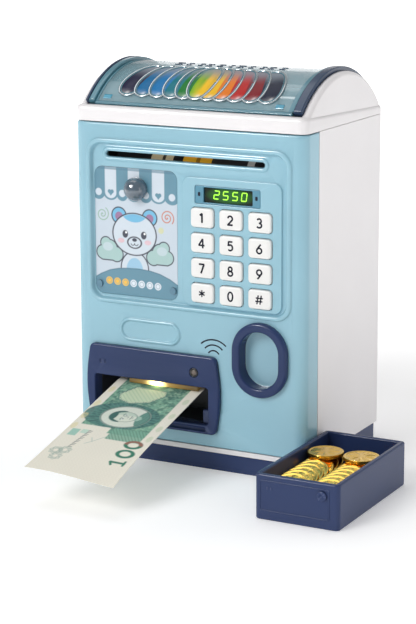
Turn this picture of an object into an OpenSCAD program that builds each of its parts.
// Toy cash-machine savings bank: a moulded casing on a dark base, a hinged front door that carries the
// keypad, the note drives and the lock, a barrel-vaulted lamp top, one play note and a tray of coins.
// Frame: X to the right, Y from front to back, Z up, origin at the centre of the base's underside.

/* [Casing] */
// Width of the casing over the side walls
body_w = 140; // [138:1:144]
// Depth from the front panel to the back wall
body_d = 101; // [99:1:106]
// Wall thickness of the casing and the door
wall = 2.4; // [2:0.1:2.8]
// Radius of the upright corners
corner_r = 5; // [3:0.5:7]
// Height of the dark base
base_h = 10.3; // [9.5:0.1:11]
// How far the base stands back from the casing
base_inset = 1.5; // [0.5:0.5:2]
// Height of the door's lower edge
door_z0 = 13.2; // [13.1:0.1:13.6]
// Height of the door's upper edge
door_z1 = 187.2; // [186.5:0.1:187.3]
// How far the door wraps round the sides
door_wrap = 16; // [14:1:18]

/* [Lamp top] */
// Height of the white rail above the door
rail_h = 8.5; // [7:0.5:9]
// Depth of that rail
rail_d = 5; // [4:0.5:6]
// Height of the vault's axis
vault_z = 152.7; // [150:0.1:154]
// Height of the white band round the sides and the back
band_h = 7; // [5:0.5:7.5]
// How far the arched end caps stand in from the band
cap_inset = 0.8; // [0.4:0.1:1.2]
// Radius of the white end caps
cap_r = 62.5; // [62:0.1:63]
// Radius of the dark arch bands
band_r = 65; // [64:0.5:66]
// Radius of the clear dome
dome_r = 63; // [62.5:0.1:63.5]
// Width of one oval lens outline
lens_w = 16; // [12:1:18]
// Length of one oval lens outline
lens_l = 34; // [28:1:36]

/* [Keypad] */
// Width of a key
key_w = 13.6; // [12:0.1:14]
// Height of a key
key_h = 10.5; // [9:0.1:11]
// Distance between key columns
key_pitch_x = 17.15; // [16.8:0.05:17.5]
// Distance between key rows
key_pitch_z = 13.7; // [13.2:0.1:14]
// How far a key stands in front of the panel
key_proud = 1; // [0.5:0.1:2]

/* [Door] */
// Radius of a hinge pin
pin_r = 0.95; // [0.9:0.05:1]
// Outer radius of a hinge knuckle
knuckle_r = 2.6; // [2.3:0.1:2.8]
// Width of the door's pull ring
pull_w = 32.7; // [30:0.1:33]
// Straight stretch of the pull ring's sides
pull_straight = 8.3; // [6:0.1:10]
// Depth of the finger recess
pull_depth = 8; // [6:0.5:9]

/* [Note and coins] */
// Width of the play note
note_w = 53.2; // [46:0.1:54]
// Length of the play note
note_l = 123; // [110:1:126]
// How far the note slopes down out of the outlet, in degrees
note_angle = 14.3; // [14:0.1:14.6]
// Diameter of a coin
coin_d = 19.5; // [17:0.5:19.5]
// Thickness of a coin
coin_t = 2; // [1.6:0.1:2]
// Width of the coin tray
tray_w = 46.7; // [46.5:0.1:48]
// Length of the coin tray
tray_l = 86.3; // [84:0.1:90]
// Height of the coin tray
tray_h = 24; // [24:1:28]

/* [Hidden] */
$fn = 48;

half_w = body_w / 2;
half_d = body_d / 2;
front = -half_d;
floor_z = base_h + 2.6;
wall_top = 187.3;
hood_z = 187.5;
rail_z = hood_z + rail_h;
deck_z = 190;
end_cap_x = 65.2;
band_x = 59.6;
arc_n = 6;
gap = 0.3;
eps = 0.01;

// Hinge: the axis stands beside the left wall, at the seam between door and casing.
hinge_x = -half_w - 1.2;
hinge_depth = door_wrap + 0.2;
hinge_zs = [36, 140];
knuckle_h = 8;
knuckle_gap = 0.3;
pin_play = 0.09;

// Levels of the door, as depths behind its front face.
bead_h = 0.8;
recess = 1.5;
recess_back = 3.6;
plate_back = 4.6;
picture_floor = 3;

// The sunk panel that holds the picture, the display and the keys.
rib = [-62.5, 62.1, 87.5, 178.8];
sunk = [-58.5, 58, 90.8, 175.1];
keypad = [-3.5, 56, 91, 161];
picture = [-58.4, -6.8, 92, 163];
picture_screw_at = [[-55.8, 97.5], [-9.5, 97.5]];
camera_at = [-31.5, 152];
camera_r = 6.5;
slot = [-50.5, 45.8, 168.5, 171.5];
display = [4.4, 43.3, 147, 156.7];
window = [9.5, 38.6, 147.8, 155.8];
pill = [-42.7, -4.3, 67, 80.5];
key_x0 = 9.2;
key_z0 = 139.5;
key_flange = 0.8;
board_depth = 7.5;
board = [-3, 56, 91.5, 146.5];
board_post_at = [[-0.8, 93.8], [53.8, 93.8], [-0.8, 144.2], [53.8, 144.2]];
control = [-58, -10, 92, 140];
control_depth = 14;
control_post_at = [[-55, 108], [-13, 108], [-55, 137], [-13, 137]];

// Outlet: the dark bezel low on the door, and the note's path through it.
outlet_x = [-60.4, 17.7];
outlet_z = [20.6, 64];
outlet_bow = 2.5;
outlet_open = [-57.5, 13.5, 26, 46.7];
bezel_proud = 3;
sleeve_back = 4.8;
sensor_at = [4.9, 54.5];
note_x0 = -44.6;
note_z = 43.8;
note_t = 0.3;
note_tip = -95.5;
grip_depth = 16;
roller_r = 4;
roller_gap = 0.12;
shaft_r = 1.5;
bore_r = 1.55;

// Gears: both drives use one gear size and one pinion size.
tooth_m = 0.8;
gear_teeth = 22;
pinion_teeth = 10;
mesh_play = 0.18;
gear_t = 3;
centre_distance = tooth_m * (gear_teeth + pinion_teeth) / 2 + mesh_play;
motor_r = 6;
motor_l = 25;
motor_shaft_r = 1;
motor_shaft_play = 0.05;

// Feed drive behind the cash slot.
feed_r = 4.5;
feed_depth = 16;
feed_mid_z = 170;
feed_grip = 0.15;
feed_low = [front + feed_depth, feed_mid_z - feed_r - feed_grip];
feed_high = [front + feed_depth, feed_mid_z + feed_r + feed_grip];
feed_cheek_x = [-58, 52];
feed_mesh_angle = -67;
feed_pinion_at = feed_low + centre_distance * [cos(feed_mesh_angle), sin(feed_mesh_angle)];

// Outlet drive: one roller above the note and one below it.
note_normal = [-sin(note_angle), cos(note_angle)];
grip_point = [front + grip_depth, note_z + grip_depth * tan(note_angle)];
roller_offset = roller_r + note_t / 2 + roller_gap;
outlet_high = grip_point + roller_offset * note_normal;
outlet_low = grip_point - roller_offset * note_normal;
chute_cheek_x = [-59.5, 13.5];
cheek_t = 2;
outlet_mesh_angle = 80;
outlet_pinion_at = outlet_high
    + centre_distance * [cos(outlet_mesh_angle), sin(outlet_mesh_angle)];

// Pull ring, and the lock behind it.
pull_at = [44.1, 65.5];
pull_r = pull_w / 2;
pull_inner_r = 11;
cup_r = 12.6;
cup_wall = 1.6;
bolt_z = 65;
bolt_depth = [20, 24];
bolt_x = [44, 63];
bolt_h = 8;
plunger_r = 2.5;

// Batteries lie across the rear left of the floor, beside the tray's bay.
cell_r = 7.1;
cell_l = 49;
cell_x0 = -57.5;
cell_z = 10.4;
cell_y = [-2.7, 12.5, 27.7];
pack_x = [-62, -4.5];
pack_y = [-11, 36];
pack_top = 19.5;
cover_t = 2;
case_screw_at = [[-60, -42], [60, -42], [-60, 43], [60, 43]];

// Power switch in the back wall.
switch_x = -38;
switch_z = 42;
switch_travel = 4;

// Tray of coins on the ground beside the bank.
tray_x0 = half_w + 0.9;
tray_y0 = front - 61;
tray_wall = 3;
tray_floor = 2.5;
coin_rows = [tray_x0 + tray_wall + coin_d / 2 + 0.3, tray_x0 + tray_w - tray_wall - coin_d / 2 - 0.3];
stack_levels = 4;
stack_columns = 3;
fan_count = 8;
fan_pitch = 6.2;
fan_angle = 22;

// ---------- shared shapes ----------

function corner(cx, cy, r, a0) =
    [for (i = [0:arc_n]) [cx + r * cos(a0 + 90 * i / arc_n), cy + r * sin(a0 + 90 * i / arc_n)]];

module rounded(x0, x1, y0, y1, r) {
    polygon(concat(corner(x1 - r, y1 - r, r, 0), corner(x0 + r, y1 - r, r, 90),
                   corner(x0 + r, y0 + r, r, 180), corner(x1 - r, y0 + r, r, 270)));
}

// Outline drawn in X and Z, carried from depth d0 to depth d1 behind the front face.
module to_depth(d0, d1) {
    translate([0, front + d1, 0]) rotate([90, 0, 0]) linear_extrude(d1 - d0) children();
}

// Outline drawn in Y and Z, carried from x0 to x1.
module along_x(x0, x1) {
    translate([x0, 0, 0]) rotate([90, 0, 90]) linear_extrude(x1 - x0) children();
}

module slab(area, d0, d1, r, grow = 0) {
    to_depth(d0, d1) rounded(area[0] - grow, area[1] + grow, area[2] - grow, area[3] + grow, r);
}

module rod_x(at, x0, x1, r) {
    along_x(x0, x1) translate(at) circle(r);
}

module rod_y(x, z, d0, d1, r) {
    to_depth(d0, d1) translate([x, z]) circle(r);
}

// Stadium of end radius r with a straight stretch of length s, upright.
module stadium(r, s) {
    polygon(concat([for (i = [0:2 * arc_n]) [r * cos(90 * i / arc_n), s / 2 + r * sin(90 * i / arc_n)]],
                   [for (i = [0:2 * arc_n]) [-r * cos(90 * i / arc_n), -s / 2 - r * sin(90 * i / arc_n)]]));
}

module plan(inset, z0, z1) {
    translate([0, 0, z0]) linear_extrude(z1 - z0)
        rounded(-half_w + inset, half_w - inset, -half_d + inset, half_d - inset, corner_r - inset / 2);
}

// Ring about the vault's axis, cut to the window between the rails and above the deck.
module vault_ring(x0, x1, r_in, r_out, z0) {
    along_x(x0, x1) intersection() {
        difference() {
            translate([0, vault_z]) circle(r_out, $fn = 120);
            translate([0, vault_z]) circle(r_in, $fn = 120);
        }
        translate([front + rail_d + 0.1, z0]) square([body_d - 2 * rail_d - 1.2, band_r]);
    }
}

// Spur gear outline with a tooth centred on the angle phase.
function tooth_arm(r, a) = [r * cos(a), r * sin(a)];
module gear(teeth, phase) {
    pitch_r = tooth_m * teeth / 2;
    root_r = pitch_r - 1.1 * tooth_m;
    tip_r = pitch_r + 0.85 * tooth_m;
    half = 90 / teeth - 1.6 * 10 / teeth;
    polygon([for (i = [0:teeth - 1]) let (a = phase + 360 * i / teeth)
        each [tooth_arm(root_r, a - half * 1.45), tooth_arm(pitch_r, a - half),
              tooth_arm(tip_r, a - half * 0.45), tooth_arm(tip_r, a + half * 0.45),
              tooth_arm(pitch_r, a + half), tooth_arm(root_r, a + half * 1.45)]]);
}

// Small pan-head screw along Y: head at depth d, shank running inward.
module screw_y(x, z, d, length, head_r = 1.9) {
    rod_y(x, z, d - 1.2, d, head_r);
    rod_y(x, z, d - eps, d + length, 1.1);
}

// ---------- casing, base and top ----------

module base() color("#3a4468") difference() {
    plan(base_inset, 0, base_h - 0.05);
    translate([0, 0, 3]) linear_extrude(base_h)
        rounded(-half_w + 4, half_w - 4, -half_d + 4, half_d - 4, 3);
    translate([pack_x[0] - 0.1, pack_y[0] - 0.1, -1])
        cube([pack_x[1] - pack_x[0] + 0.2, pack_y[1] - pack_y[0] + 0.2, 8]);
    for (p = case_screw_at) translate([p[0], p[1], -1]) {
        cylinder(h = 6, r = 1.5);
        cylinder(h = 2.8, r = 3);
    }
}

module knuckle(z0) {
    translate([hinge_x, front + hinge_depth, z0]) cylinder(h = knuckle_h, r = knuckle_r);
}

module pin_bores() {
    for (z = hinge_zs) translate([hinge_x, front + hinge_depth, z - 1])
        cylinder(h = 3 * knuckle_h + 2, r = pin_r + pin_play);
}

module casing() color("#f0eeee") difference() {
    union() {
        difference() {
            plan(0, base_h, wall_top);
            translate([0, 0, floor_z]) linear_extrude(wall_top)
                rounded(-half_w + wall, half_w - wall, -half_d - 20, half_d - wall, 3);
            translate([-body_w, front - 1, floor_z]) cube([2 * body_w, door_wrap + 1.4, wall_top]);
        }
        // ledges behind the door's edge, and the rail of the tray's bay
        for (side = [-1, 1]) translate([side * (half_w - wall - 0.9) - 1, front + door_wrap + 0.4, floor_z])
            cube([2, 2.4, wall_top - floor_z]);
        translate([17, front + 34, floor_z - eps]) cube([1.6, 60, 6]);
        // bosses for the base's screws
        for (p = case_screw_at) translate([p[0], p[1], 3.2]) cylinder(h = base_h - 3, r = 3.5);
        // outer knuckles of both hinges, on webs along the wall
        for (z = hinge_zs) for (k = [0, 2]) {
            knuckle(z + k * knuckle_h);
            translate([hinge_x - knuckle_r * 0.3, front + hinge_depth + 0.4, z + k * knuckle_h])
                cube([1.7 + knuckle_r * 0.3, 7, knuckle_h]);
        }
    }
    // room for the door's middle knuckles
    for (z = hinge_zs) translate([hinge_x, front + hinge_depth, z + knuckle_h - knuckle_gap])
        cylinder(h = knuckle_h + 2 * knuckle_gap, r = knuckle_r + 0.5);
    pin_bores();
    translate([pack_x[0] - 0.1, pack_y[0] - 0.1, base_h - 1])
        cube([pack_x[1] - pack_x[0] + 0.2, pack_y[1] - pack_y[0] + 0.2, 6]);
    for (p = case_screw_at) translate([p[0], p[1], 2]) cylinder(h = base_h - 1.5, r = 1.25);
    translate([switch_x - 3, half_d - wall - 1, switch_z - 2.4])
        cube([6 + switch_travel, wall + 2, 4.8]);
}

// White top: a band all round, a taller rail at the front, and an arched cap at each end.
module hood() color("#f0eeee") difference() {
    union() {
        plan(0, hood_z, hood_z + band_h);
        intersection() {
            plan(0, hood_z, rail_z);
            translate([-half_w, front, hood_z]) cube([body_w, rail_d + 2, rail_h]);
        }
        intersection() {
            along_x(-half_w + cap_inset, half_w - cap_inset) difference() {
                translate([0, vault_z]) circle(cap_r, $fn = 120);
                translate([-body_d, 0]) square([2 * body_d, hood_z + 1]);
            }
            plan(0, hood_z, hood_z + 40);
        }
    }
    translate([-end_cap_x, front + rail_d, hood_z - 1])
        cube([2 * end_cap_x, body_d - 2 * rail_d - 1, 40]);
    translate([-half_w + wall, front + wall, hood_z - 1]) cube([body_w - 2 * wall, rail_d, rail_h - 2]);
}

module vault_deck() color("#dfe3e6") difference() {
    translate([-end_cap_x + 0.1, front + rail_d + 2.1, hood_z + 0.1])
        cube([2 * end_cap_x - 0.2, body_d - 2 * rail_d - 5.2, deck_z - hood_z - 0.1]);
    translate([3, 0, hood_z - 1]) cylinder(h = 5, r = 12);
}

module clear_dome() color("#a9c6c4", 0.45) difference() {
    union() {
        vault_ring(-band_x + 0.1, band_x - 0.1, dome_r - 1.8, dome_r, deck_z);
        for (d = [rail_d + 0.1, body_d - rail_d - 2.9]) translate([-band_x + 0.1, front + d, hood_z + 1])
            cube([2 * band_x - 0.2, 1.8, 8]);
    }
    for (i = [0:8]) translate([-24 + 6.6 * i, -6, vault_z + dome_r - 4]) cube([3, 4, 6]);
}

module arch_bands() color("#3a4468") for (side = [-1, 1])
    vault_ring(side > 0 ? band_x : -end_cap_x + 0.1, side > 0 ? end_cap_x - 0.1 : -band_x,
               58, band_r, deck_z + 0.05);

// Places of the oval lenses: closer together at the middle, and leaning inward as they rise.
function lens_x(i) = -0.8 + 7 * i + 0.37 * i * abs(i);
function lens_lean(i) = 3.4 * i;
lens_turn = 25;

module on_vault(i) {
    translate([0, 0, vault_z]) rotate([lens_turn, 0, 0]) translate([lens_x(i) * 0.88, 0, 40])
        rotate([0, 0, lens_lean(i)]) linear_extrude(40) children();
}

module shell(r_in, r_out) {
    rotate([0, 90, 0]) translate([-vault_z, 0, -band_x + 1]) difference() {
        cylinder(h = 2 * band_x - 2, r = r_out, $fn = 120);
        translate([0, 0, -1]) cylinder(h = 2 * band_x, r = r_in, $fn = 120);
    }
}

module lens_rings() color("#c9d2d4") intersection() {
    shell(dome_r + 0.02, dome_r + 0.9);
    union() {
        for (i = [-5:5]) on_vault(i) difference() {
            stadium(lens_w / 2, lens_l - lens_w);
            stadium(lens_w / 2 - 1.1, lens_l - lens_w);
        }
    }
}

module gem_lenses() color("#f0a030", 0.8) intersection() {
    shell(dome_r - 3.4, dome_r - 2);
    union() {
        for (i = [-5:5]) on_vault(i) stadium(2.9, lens_l - lens_w + 4);
    }
}

module light_board() color("#2f6b45") {
    translate([-54, front + 15, 193]) cube([108, 18, 1.6]);
    for (x = [-48, 46]) translate([x, front + 23, deck_z + 0.05]) cube([4, 4, 3]);
    for (i = [-5:5]) translate([lens_x(i) - 1.75, front + 20, 194.6 - eps]) cube([3.5, 3.5, 1.8]);
}

module crest_grille() color("#2f3a5c") difference() {
    intersection() {
        shell(dome_r + 0.02, dome_r + 1.2);
        translate([-27, -7.6, vault_z + 40]) cube([61, 7, 40]);
    }
    for (i = [0:8]) translate([-24 + 6.6 * i, -6, vault_z + dome_r - 4]) cube([3, 4, 8]);
}

module speaker() color("#2b2d33") {
    translate([3, 0, deck_z + 0.05]) cylinder(h = 2, r = 16);
    translate([3, 0, hood_z - 3]) cylinder(h = deck_z - hood_z + 3.1, r = 11.5);
    translate([3, 0, deck_z + 2]) cylinder(h = 3, r1 = 14, r2 = 12);
}

// ---------- power ----------

module battery_box() color("#2b2d33") difference() {
    translate([pack_x[0], pack_y[0], cover_t + 0.3])
        cube([pack_x[1] - pack_x[0], pack_y[1] - pack_y[0], pack_top - cover_t - 0.3]);
    translate([pack_x[0] + 1.5, pack_y[0] + 1.2, 0])
        cube([pack_x[1] - pack_x[0] - 3, pack_y[1] - pack_y[0] - 2.4, pack_top - 1.5]);
}

module battery_cover() color("#333c5e") difference() {
    translate([pack_x[0] + 0.2, pack_y[0] + 0.2, 0])
        cube([pack_x[1] - pack_x[0] - 0.4, pack_y[1] - pack_y[0] - 0.4, cover_t]);
    translate([pack_x[1] - 3.5, (pack_y[0] + pack_y[1]) / 2, -1]) cylinder(h = 5, r = 1.4);
}

module batteries() color("#c8a24a") for (y = cell_y)
    translate([cell_x0, y, cell_z]) rotate([0, 90, 0]) {
        cylinder(h = cell_l, r = cell_r);
        translate([0, 0, cell_l - eps]) cylinder(h = 1, r = 2.7);
    }

module battery_contacts() color("#c9ccd0") for (y = cell_y) {
    translate([pack_x[0] + 1.55, y - 5, cell_z - 5]) cube([0.5, 10, 10]);
    for (k = [0:2]) translate([pack_x[0] + 2.1 + 0.75 * k, y, cell_z]) rotate([0, 90, 0])
        rotate_extrude() translate([4.6 - k * 0.8, 0]) circle(0.3, $fn = 16);
    translate([pack_x[1] - 2.1, y - 5, cell_z - 5]) cube([0.5, 10, 10]);
}

module switch_body() color("#2b2d33") difference() {
    translate([switch_x - 7, half_d - wall - 6.1, switch_z - 5]) cube([14 + switch_travel, 6, 10]);
    translate([switch_x - 4.4, half_d - wall - 4, switch_z - 3.4]) cube([8.8 + switch_travel, 5, 6.8]);
}

module switch_slider() color("#3a4468") {
    translate([switch_x - 4, half_d - wall - 3.6, switch_z - 3]) cube([8, 3.2, 6]);
    translate([switch_x - 2.5, half_d - wall - 0.5, switch_z - 2]) cube([5, wall + 1.6, 4]);
    for (k = [-1:1]) translate([switch_x + 1.5 * k - 0.3, half_d + 1, switch_z - 2]) cube([0.6, 0.5, 4]);
}

module case_screws() color("#b8bcc2") {
    for (p = case_screw_at) translate([p[0], p[1], 0.3]) {
        cylinder(h = 1.4, r = 2.6);
        cylinder(h = 9, r = 1.2);
    }
    translate([pack_x[1] - 3.5, (pack_y[0] + pack_y[1]) / 2, 0.3]) cylinder(h = 2.6, r = 1.3);
}

module hinge_pins() color("#b8bcc2") for (z = hinge_zs)
    translate([hinge_x, front + hinge_depth, z - 0.4]) {
        cylinder(h = 3 * knuckle_h + 0.8, r = pin_r);
        translate([0, 0, 3 * knuckle_h + 0.45]) cylinder(h = 0.9, r = 1.1);
    }

module strike_plate() color("#b8bcc2") difference() {
    slab([half_w - wall - 3.6, half_w - wall - 0.05, bolt_z - 8, bolt_z + 8], 19.1, 28, 0.3);
    slab([half_w - 10, half_w, bolt_z - 4.6, bolt_z + 4.6], bolt_depth[0] - 0.5, bolt_depth[1] + 0.5, 0.3);
}

// ---------- door ----------

// Sides of the bezel bow outward on a half sine wave.
function bow_side(side, from, to) =
    [for (i = [0:12]) let (t = i / 12)
        [(side > 0 ? outlet_x[1] : outlet_x[0]) + side * outlet_bow * sin(180 * t),
         from + (to - from) * t]];

module bezel_outline() {
    polygon(concat(bow_side(1, outlet_z[0], outlet_z[1]), bow_side(-1, outlet_z[1], outlet_z[0])));
}

module at_keys() {
    for (row = [0:3]) for (column = [0:2])
        translate([key_x0 + column * key_pitch_x, 0, key_z0 - row * key_pitch_z]) children();
}

module door_shell() {
    difference() {
        intersection() {
            plan(0, door_z0, door_z1);
            translate([-body_w, front - 1, 0]) cube([2 * body_w, door_wrap + 1, 300]);
        }
        translate([0, 0, door_z0 + wall]) linear_extrude(door_z1 - door_z0 - 2 * wall)
            rounded(-half_w + wall, half_w - wall, front + wall, half_d, corner_r - wall / 2);
    }
    slab(sunk, wall - eps, recess_back, 6, 1.5);
    slab(picture, recess, plate_back, 4, 1.6);
    slab(rib, -bead_h, eps, 9);
    slab(pill, -bead_h, eps, 6.7);
    // cup behind the pull ring
    to_depth(wall - eps, pull_depth + 2) translate(pull_at) stadium(cup_r + cup_wall, pull_straight);
    // posts for the boards
    for (p = board_post_at) rod_y(p[0], p[1], recess_back - eps, board_depth - 0.05, 1.9);
    for (p = control_post_at) rod_y(p[0], p[1], plate_back - eps, control_depth - 0.05, 2.4);
    // middle knuckles of both hinges, on webs along the wall
    for (z = hinge_zs) {
        translate([hinge_x, front + hinge_depth, z + knuckle_h + knuckle_gap])
            cylinder(h = knuckle_h - 2 * knuckle_gap, r = knuckle_r);
        translate([hinge_x, front + hinge_depth - 7.4, z + knuckle_h + knuckle_gap])
            cube([1.7, 7, knuckle_h - 2 * knuckle_gap]);
    }
}

module door_panel() color("#92c4d6") difference() {
    door_shell();
    // the sunk field inside the raised rib, and the flat inside the pill outline
    slab(sunk, -5, recess, 6);
    difference() {
        slab(rib, -5, 0, 7, -2.6);
        slab(sunk, -6, 1, 6);
    }
    slab(pill, -5, 0, 4.4, -2.3);
    slab(picture, recess - 1, picture_floor, 5);
    slab(slot, -5, 9, 1.49);
    slab(display, -5, 9, 1, 0.1);
    at_keys() slab([-key_w / 2, key_w / 2, -key_h / 2, key_h / 2], -5, 9, 2, gap);
    slab([outlet_open[0], outlet_open[1], outlet_open[2] - 1, outlet_open[3]], -5, 9, 2, 0.9);
    to_depth(-5, pull_depth) translate(pull_at) stadium(cup_r, pull_straight);
    rod_y(camera_at[0], camera_at[1], -1, 9, 6.1);
    rod_y(sensor_at[0], sensor_at[1], -1, 9, 2.6);
    for (p = picture_screw_at) rod_y(p[0], p[1], 1, 4.1, 1.15);
    for (p = board_post_at) rod_y(p[0], p[1], recess_back, 9, 1.15);
    for (p = control_post_at) rod_y(p[0], p[1], 8, 15, 1.15);
    // room for the casing's knuckles, and the pins' bores
    for (z = hinge_zs) for (k = [0, 2])
        translate([hinge_x, front + hinge_depth, z + k * knuckle_h - knuckle_gap])
            cylinder(h = knuckle_h + 2 * knuckle_gap, r = knuckle_r + 0.5);
    pin_bores();
}

module picture_plate() color("#c4d0da") difference() {
    slab(picture, recess + 0.1, picture_floor, 4.9, -0.15);
    rod_y(camera_at[0], camera_at[1], -1, 9, 6.1);
    for (p = picture_screw_at) rod_y(p[0], p[1], 1, 4, 1.15);
}

module camera_dome() color("#4c5158") {
    translate([camera_at[0], front + 1.5, camera_at[1]]) rotate([90, 0, 0]) rotate_extrude()
        intersection() {
            translate([0, 1.8]) circle(camera_r, $fn = 64);
            square([camera_r, camera_r + 2]);
        }
    rod_y(camera_at[0], camera_at[1], 1.5 - eps, 11, 6);
}

module display_bezel() color("#4e849c") difference() {
    slab(display, 0.8, recess_back, 1);
    slab(window, -1, 6, 0.5, 0.05);
}

module display_module() color("#2d6432") {
    slab(window, 1.8, recess_back + 0.1, 0.5, -0.05);
    slab([5.5, 42, 147, 158.5], recess_back + 0.05, 8.5, 0.5);
}

module keypad_membrane() color("#d8d8d4") {
    slab([1.2, 51.4, 92, 146], board_depth - 1, board_depth - 0.05, 2);
    at_keys() rod_y(0, 0, board_depth - 1.2, board_depth - 1 + eps, 3.2);
}

module keypad_board() color("#2f6b45") difference() {
    slab(board, board_depth, board_depth + 1.6, 1);
    for (p = board_post_at) rod_y(p[0], p[1], 0, 20, 1.15);
}

module control_board() color("#2f6b45") difference() {
    union() {
        slab(control, control_depth, control_depth + 1.6, 1);
        slab([-46, -34, 118, 130], control_depth + 1.6 - eps, control_depth + 3.4, 0.4);
        slab([-27, -19, 122, 132], control_depth + 1.6 - eps, control_depth + 3, 0.4);
        for (x = [-48, -38, -28])
            slab([x, x + 7, 97, 103], control_depth + 1.6 - eps, control_depth + 8, 0.4);
        rod_y(-20, 112, control_depth + 1.6 - eps, control_depth + 9, 4);
    }
    for (p = control_post_at) rod_y(p[0], p[1], 0, 30, 1.15);
}

module ring_pull() color("#3a4468") difference() {
    union() {
        to_depth(-3.5, -0.05) translate(pull_at) stadium(pull_r, pull_straight);
        to_depth(-0.1, pull_depth - 0.1) translate(pull_at) stadium(cup_r - 0.1, pull_straight);
    }
    to_depth(-9, 20) translate(pull_at) stadium(pull_inner_r, pull_straight);
}

module outlet_bezel() color("#3a4468") {
    difference() {
        union() {
            to_depth(-bezel_proud, -0.05) bezel_outline();
            slab([outlet_open[0], outlet_open[1], outlet_open[2] - 1, outlet_open[3]],
                -0.1, sleeve_back, 2, 0.8);
        }
        slab(outlet_open, -9, 20, 1.5);
        slab([outlet_open[0] - 1, outlet_open[1] + 1, outlet_z[0] + 0.8, outlet_open[2] - 0.6], -9, -1.6, 1);
        rod_y(sensor_at[0], sensor_at[1], -9, 9, 2.6);
        for (x = [-53.7, -50.4]) rod_y(x, 54.5, -9, -bezel_proud + 0.6, 0.9);
        slab([-36.1, 7.1, outlet_open[3] - 2, outlet_open[3] + 1], 1.9, 9, 0.3);
    }
    slab([8.9, 13.6, 25.9, 33.8], 2.6, sleeve_back - 0.1, 0.5);
}

module outlet_sensor() color("#1d1f26") {
    rod_y(sensor_at[0], sensor_at[1], -bezel_proud - 0.2, 6, 2.5);
}

// Light bar under the top of the outlet's mouth; its lower face follows the note.
module outlet_lamp() color("#ffe690") {
    slab([-36, 7, outlet_open[3] - 0.9, outlet_open[3] + 0.9], 2, 4.7, 0.3);
    along_x(-36, 7) polygon([[front - 1.8, 44], [front + 4.7, 45.8], [front + 4.7, 46.6], [front - 1.8, 46.6]]);
}

// Frame behind the outlet: two cheeks that carry the rollers, a floor and a back stop.
module outlet_chute() color("#2b2f3d") difference() {
    width = chute_cheek_x[1] - chute_cheek_x[0] + cheek_t;
    union() {
        for (x = chute_cheek_x) translate([x, front + 5, 24]) cube([cheek_t, 23, 36]);
        translate([chute_cheek_x[1], front + 8, 59]) cube([cheek_t, 20, 14]);
        translate([chute_cheek_x[0], front + 5, 24]) cube([width, 23, 2]);
        translate([chute_cheek_x[0], front + 26, 24]) cube([width, 2, 16]);
        translate([chute_cheek_x[0], front + 22, 57.5]) cube([width, 6, 2]);
    }
    rod_x(outlet_high, -80, 40, bore_r);
    rod_x(outlet_low, -80, 40, bore_r);
    rod_x(outlet_pinion_at, 0, 40, 2);
}

module motor(at, x0) {
    difference() {
        union() {
            rod_x(at, x0, x0 + motor_l, motor_r);
            rod_x(at, x0 + motor_l - eps, x0 + motor_l + 1.5, 3);
            rod_x(at, x0 - 1.5, x0 + eps, 3);
        }
        rod_x(at, x0 - 2, x0 + motor_l + 2, motor_shaft_r + motor_shaft_play);
    }
}

module outlet_motor() color("#b8bcc2")
    motor(outlet_pinion_at, chute_cheek_x[1] - motor_l - 0.05 - 1.5);

module feed_housing() color("#2b2f3d") difference() {
    union() {
        for (x = feed_cheek_x) translate([x, front + 5, 159.6]) cube([cheek_t, 20, 22.8]);
        translate([feed_cheek_x[0], front + 12, 146.5]) cube([cheek_t, 17, 14]);
        for (z = [160, 180]) translate([feed_cheek_x[0], front + 22, z])
            cube([feed_cheek_x[1] - feed_cheek_x[0] + cheek_t, 3, 2.4]);
    }
    rod_x(feed_low, -80, 80, bore_r);
    rod_x(feed_high, -80, 80, bore_r);
    rod_x(feed_pinion_at, -80, 0, 2);
}

module feed_motor() color("#b8bcc2") motor(feed_pinion_at, feed_cheek_x[0] + cheek_t + 0.05 + 1.5);

module latch_solenoid() color("#8a8f98") difference() {
    union() {
        slab([23, 60, bolt_z - 9, bolt_z + 9], pull_depth + 2.05, pull_depth + 3.6, 1);
        slab([24, 40, bolt_z - 8, bolt_z + 8], pull_depth + 3.6 - eps, 30, 1);
        slab([50, 56, bolt_z - 7, bolt_z + 7], pull_depth + 3.6 - eps, bolt_depth[1] + 2, 0.5);
    }
    rod_x([front + (bolt_depth[0] + bolt_depth[1]) / 2, bolt_z], 26, 45, plunger_r + 0.05);
    slab([49, 57, bolt_z - bolt_h / 2, bolt_z + bolt_h / 2], bolt_depth[0], bolt_depth[1], 0.3, 0.15);
    slab([49, 57, bolt_z - bolt_h / 2, bolt_z + bolt_h / 2], bolt_depth[0] - 0.15, bolt_depth[1] + 0.15, 0.3);
}

module door_screws() color("#b8bcc2") {
    for (p = picture_screw_at) screw_y(p[0], p[1], recess + 0.1, 2.2);
    for (p = board_post_at) mirror_screw(p, board_depth + 1.6, 4);
    for (p = control_post_at) mirror_screw(p, control_depth + 1.6, 5);
}

// The same screw driven from inside the door: the head is behind and the shank runs forward.
module mirror_screw(p, d, length) {
    rod_y(p[0], p[1], d, d + 1.2, 1.9);
    rod_y(p[0], p[1], d - length, d + eps, 1.1);
}

// ---------- drives ----------

module roller(at, x0, x1, r, shaft_x0, shaft_x1) {
    rod_x(at, shaft_x0, shaft_x1, shaft_r);
    rod_x(at, x0, x1, r);
}

module feed_roller() color("#33363c") {
    roller(feed_low, -50, 46, feed_r, -58.4, 54.6);
    along_x(-61.4, -61.4 + gear_t) translate(feed_low) gear(gear_teeth, feed_mesh_angle);
}

module idler_roller() color("#33363c") roller(feed_high, -50, 46, feed_r, -58.4, 54.6);

module pinion(at, x0, shaft_end, phase) {
    along_x(x0, x0 + gear_t) translate(at) gear(pinion_teeth, phase);
    rod_x(at, min(x0, shaft_end), max(x0, shaft_end), motor_shaft_r);
}

module feed_pinion() color("#e8e4d8")
    pinion(feed_pinion_at, -61.4, feed_cheek_x[0] + cheek_t + motor_l - 4, feed_mesh_angle + 180 + 18);

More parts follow.
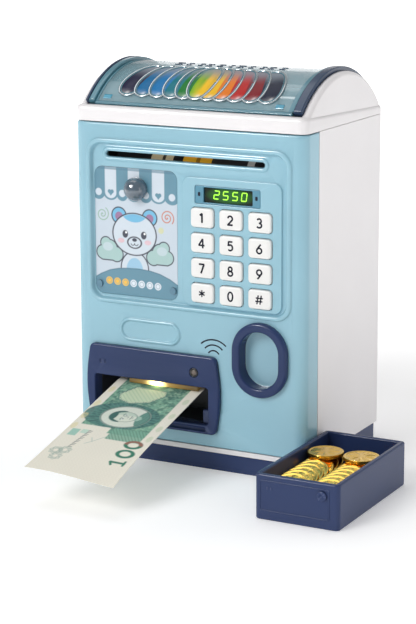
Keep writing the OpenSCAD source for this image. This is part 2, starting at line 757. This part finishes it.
module outlet_roller() color("#33363c") {
    roller(outlet_high, -48, 8, roller_r, -60.2, 16.4);
    along_x(16.2, 16.2 + gear_t) translate(outlet_high) gear(gear_teeth, outlet_mesh_angle);
}

module pinch_roller() color("#33363c") roller(outlet_low, -48, 8, roller_r, -60.2, 16);

module outlet_pinion() color("#e8e4d8")
    pinion(outlet_pinion_at, 16.2, -5, outlet_mesh_angle + 180 + 18);

module latch_bolt() color("#c9ccd0") {
    slab([bolt_x[0], bolt_x[1], bolt_z - bolt_h / 2, bolt_z + bolt_h / 2], bolt_depth[0], bolt_depth[1], 0.3);
    rod_x([front + (bolt_depth[0] + bolt_depth[1]) / 2, bolt_z], 30, bolt_x[0] + 1, plunger_r);
}

// ---------- keys, note, tray and coins ----------

module key(row, column) color("#f4f3f2")
    translate([key_x0 + column * key_pitch_x, 0, key_z0 - row * key_pitch_z]) {
        slab([-key_w / 2, key_w / 2, -key_h / 2, key_h / 2], -key_proud, recess_back + gap + eps, 2);
        slab([-key_w / 2, key_w / 2, -key_h / 2, key_h / 2], recess_back + gap, recess_back + gap + 0.9, 2.4,
             key_flange);
    }

module banknote() color("#e8e4d7") translate([note_x0, front, note_z]) rotate([note_angle, 0, 0])
    translate([0, note_tip / cos(note_angle), -note_t / 2]) cube([note_w, note_l, note_t]);

module coin_tray() color("#3a4468") difference() {
    translate([0, 0, 0]) linear_extrude(tray_h)
        rounded(tray_x0, tray_x0 + tray_w, tray_y0, tray_y0 + tray_l, 4);
    translate([0, 0, tray_floor]) linear_extrude(tray_h)
        rounded(tray_x0 + tray_wall, tray_x0 + tray_w - tray_wall, tray_y0 + tray_wall,
                tray_y0 + tray_l - tray_wall, 2);
    // shallow frame line and round catch mark on the front
    translate([0, tray_y0 + 0.6, 0]) rotate([90, 0, 0]) linear_extrude(1) difference() {
        rounded(tray_x0 + 2.6, tray_x0 + tray_w - 5.7, 4, tray_h - 3.6, 1.5);
        rounded(tray_x0 + 3.4, tray_x0 + tray_w - 6.5, 4.8, tray_h - 4.4, 1);
        translate([tray_x0 + tray_w - 8.8, tray_h - 6.9]) circle(2.6);
    }
}

module coin(x, y, z, tilt) {
    translate([x, y, z]) rotate([tilt, 0, 0]) cylinder(h = coin_t, r = coin_d / 2);
}

// Stacks lie flat on the tray's floor, a fan of coins leans on them, and one coin lies on each fan.
module coins() color("#dcb446") for (x = coin_rows) {
    coin(x, tray_y0 + 57.4, tray_floor + stack_levels * (coin_t + 0.02) + 0.15
         + coin_d * sin(fan_angle) + coin_t * cos(fan_angle), 0);
    for (c = [0:stack_columns - 1]) for (k = [0:stack_levels - 1])
        coin(x, tray_y0 + tray_wall + 0.5 + (coin_d + 0.3) * (c + 0.5),
             tray_floor + 0.02 + (coin_t + 0.02) * k, 0);
    for (f = [0:fan_count - 1])
        coin(x, tray_y0 + tray_wall + 1.5 + coin_d / 2 + fan_pitch * f,
             tray_floor + stack_levels * (coin_t + 0.02) + coin_d / 2 * sin(fan_angle) + 0.1, fan_angle);
}

base();
casing();
hood();
vault_deck();
clear_dome();
arch_bands();
lens_rings();
gem_lenses();
light_board();
crest_grille();
speaker();
battery_box();
battery_cover();
batteries();
battery_contacts();
switch_body();
switch_slider();
case_screws();
hinge_pins();
strike_plate();
door_panel();
picture_plate();
camera_dome();
display_bezel();
display_module();
keypad_membrane();
keypad_board();
control_board();
ring_pull();
outlet_bezel();
outlet_sensor();
outlet_lamp();
outlet_chute();
outlet_motor();
feed_housing();
feed_motor();
latch_solenoid();
door_screws();
feed_roller();
idler_roller();
feed_pinion();
outlet_roller();
pinch_roller();
outlet_pinion();
banknote();
latch_bolt();
key(0, 0);  // key_1
key(0, 1);  // key_2
key(0, 2);  // key_3
key(1, 0);  // key_4
key(1, 1);  // key_5
key(1, 2);  // key_6
key(2, 0);  // key_7
key(2, 1);  // key_8
key(2, 2);  // key_9
key(3, 0);  // key_star
key(3, 1);  // key_0
key(3, 2);  // key_hash
coin_tray();
coins();
